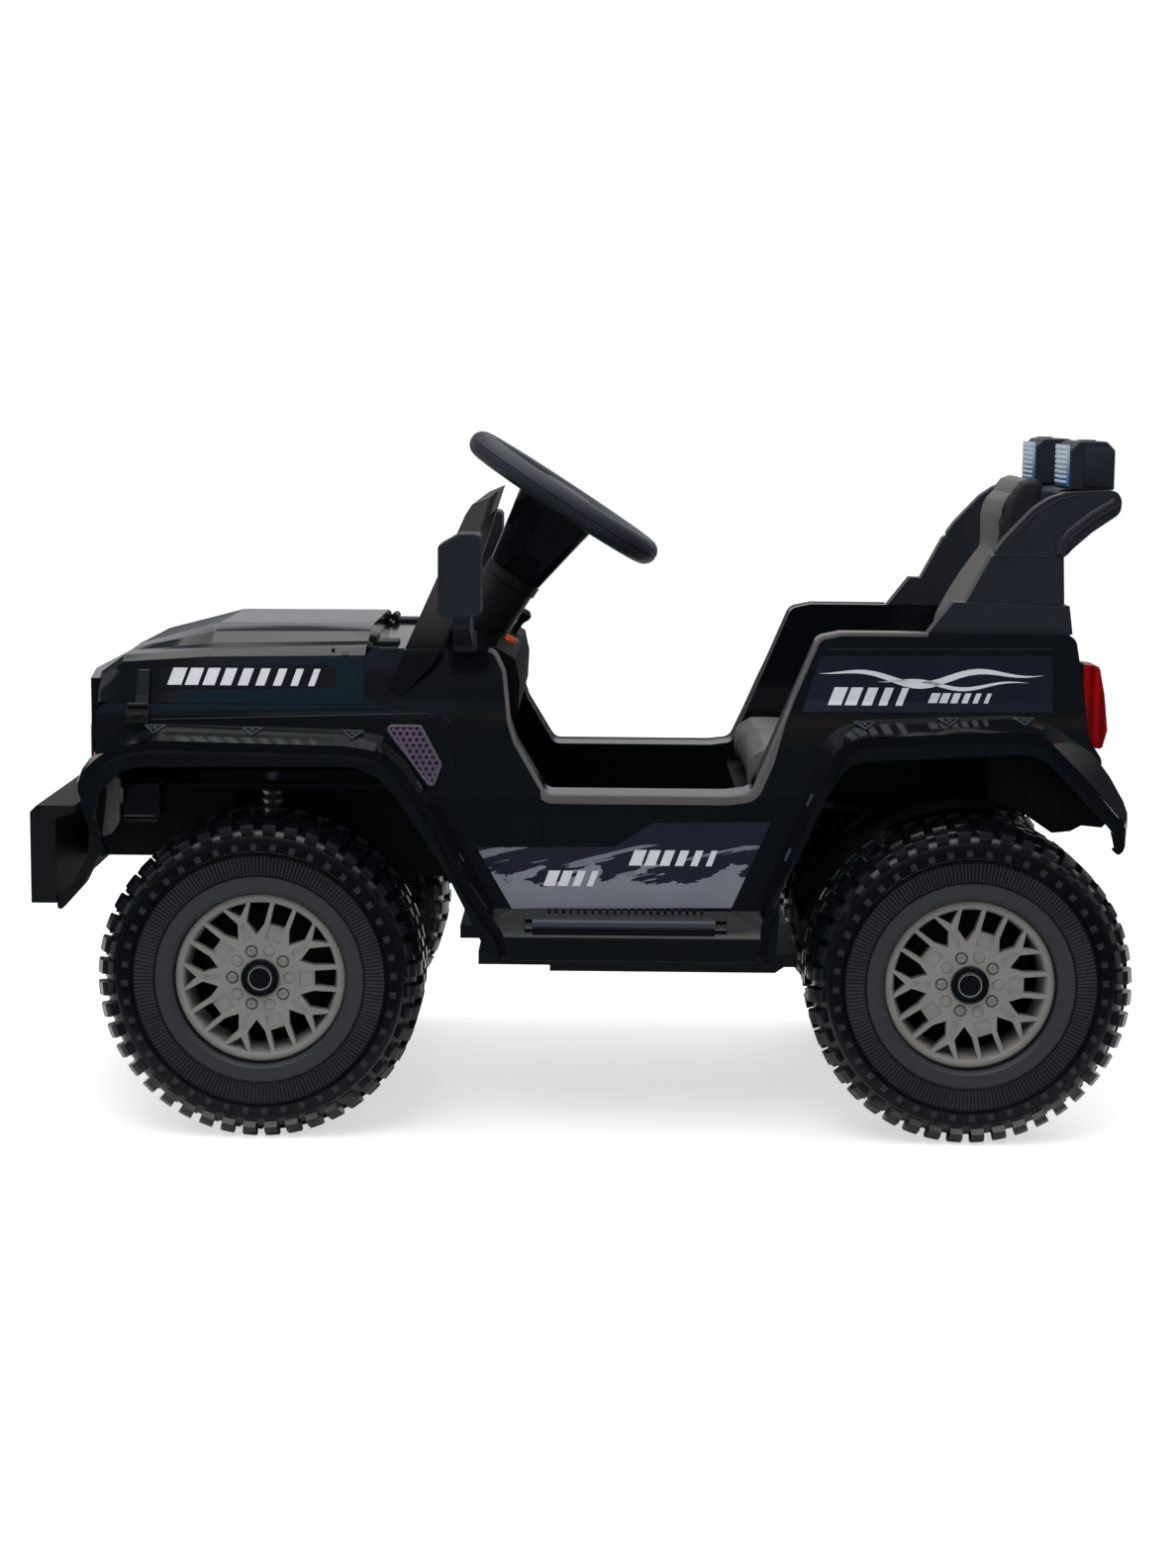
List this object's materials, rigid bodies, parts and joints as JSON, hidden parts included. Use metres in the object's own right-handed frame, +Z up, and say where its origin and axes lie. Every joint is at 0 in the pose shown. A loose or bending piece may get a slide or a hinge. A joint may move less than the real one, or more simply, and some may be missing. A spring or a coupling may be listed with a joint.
{
  "type": "child's ride-on battery off-road car",
  "caption": "Child's battery ride-on car in open off-road style, with steered front wheels, open cockpit, seat, roll bar and roof lamps.",
  "frame": {"origin": "on the ground, under the middle of the overall box", "axes": "the car's front points along -X, the driver's left along -Y, and +Z is up"},
  "size_m": [1.122, 0.652, 0.7151],
  "materials": {
    "gloss_black": "gloss moulded black",
    "matt_black": "matt grained dark grey",
    "tyre": "matt black moulded plastic tyre",
    "rim": "satin warm grey",
    "seat_leather": "soft dark grey artificial leather",
    "lamp_clear": "clear lens",
    "lamp_amber": "amber lens",
    "lamp_blue": "light blue lens",
    "lamp_red": "red lens",
    "vent_grey": "purple grey perforated trim",
    "button_orange": "orange push button",
    "steel": "zinc plated"
  },
  "bodies": {
    "body": {"body_side_left": "gloss_black", "body_side_right": "gloss_black", "column_tube": "matt_black", "cowl": "gloss_black", "cross_bar": "matt_black", "dashboard": "matt_black", "drive_lever": "matt_black", "floor_pan": "matt_black", "front_bumper": "matt_black", "front_chassis": "matt_black", "front_flare_left": "gloss_black", "front_flare_right": "gloss_black", "gearbox_left": "matt_black", "gearbox_right": "matt_black", "headlamp_left": "lamp_clear", "headlamp_right": "lamp_clear", "hood": "gloss_black", "indicator_left": "lamp_amber", "indicator_right": "lamp_amber", "mirror_left": "matt_black", "mirror_right": "matt_black", "nose": "gloss_black", "pedal": "matt_black", "rear_axle": "steel", "rear_chassis": "matt_black", "rear_deck": "gloss_black", "rear_flare_left": "gloss_black", "rear_flare_right": "gloss_black", "roll_bar_left": "matt_black", "roll_bar_right": "matt_black", "roof_lamp_left": "matt_black", "roof_lamp_lens_left": "lamp_blue", "roof_lamp_lens_right": "lamp_blue", "roof_lamp_right": "matt_black", "seat_back": "seat_leather", "seat_cushion": "seat_leather", "seat_tub": "matt_black", "spring_left": "steel", "spring_right": "steel", "start_button": "button_orange", "step_left": "gloss_black", "step_right": "gloss_black", "tail_lamp_left": "lamp_red", "tail_lamp_right": "lamp_red", "vent_left": "vent_grey", "vent_right": "vent_grey", "windscreen_frame": "matt_black"},
    "knuckle_left": {"knuckle_left": "steel"},
    "knuckle_right": {"knuckle_right": "steel"},
    "tie_rod": {"tie_rod": "steel"},
    "steering": {"column_shaft": "matt_black", "steering_wheel": "matt_black"},
    "wheel_front_left": {"tyre_front_left": "tyre", "rim_front_left": "rim"},
    "wheel_front_right": {"tyre_front_right": "tyre", "rim_front_right": "rim"},
    "wheel_rear_left": {"tyre_rear_left": "tyre", "rim_rear_left": "rim"},
    "wheel_rear_right": {"tyre_rear_right": "tyre", "rim_rear_right": "rim"}
  },
  "joints": [
    {"name": "steer_left", "type": "hinge", "parent": "body", "child": "knuckle_left", "pos_m": [-0.324, -0.158, 0.165], "axis": [0, 0, 1], "range_deg": [-22, 22]},
    {"name": "steer_right", "type": "hinge", "parent": "body", "child": "knuckle_right", "pos_m": [-0.324, 0.158, 0.165], "axis": [0, 0, 1], "range_deg": [-22, 22]},
    {"name": "tie_rod_swing", "type": "hinge", "parent": "knuckle_left", "child": "tie_rod", "pos_m": [-0.271, -0.158, 0.178], "axis": [0, 0, 1], "range_deg": [-22, 22]},
    {"name": "steering_wheel_turn", "type": "hinge", "parent": "body", "child": "steering", "pos_m": [-0.11592, 0, 0.5], "axis": [0.5402, 0, 0.8415], "range_deg": [-30, 30]},
    {"name": "spin_front_left", "type": "hinge", "parent": "knuckle_left", "child": "wheel_front_left", "pos_m": [-0.324, -0.235, 0.165], "axis": [0, 1, 0], "continuous": true},
    {"name": "spin_front_right", "type": "hinge", "parent": "knuckle_right", "child": "wheel_front_right", "pos_m": [-0.324, 0.235, 0.165], "axis": [0, 1, 0], "continuous": true},
    {"name": "spin_rear_left", "type": "hinge", "parent": "body", "child": "wheel_rear_left", "pos_m": [0.396, -0.235, 0.165], "axis": [0, 1, 0], "continuous": true},
    {"name": "spin_rear_right", "type": "hinge", "parent": "body", "child": "wheel_rear_right", "pos_m": [0.396, 0.235, 0.165], "axis": [0, 1, 0], "continuous": true}
  ],
  "couplings": [
    {"joint": "steer_right", "follows": "steer_left", "ratio": 1},
    {"joint": "tie_rod_swing", "follows": "steer_left", "ratio": -1},
    {"joint": "steering_wheel_turn", "follows": "steer_left", "ratio": 1.35}
  ]
}
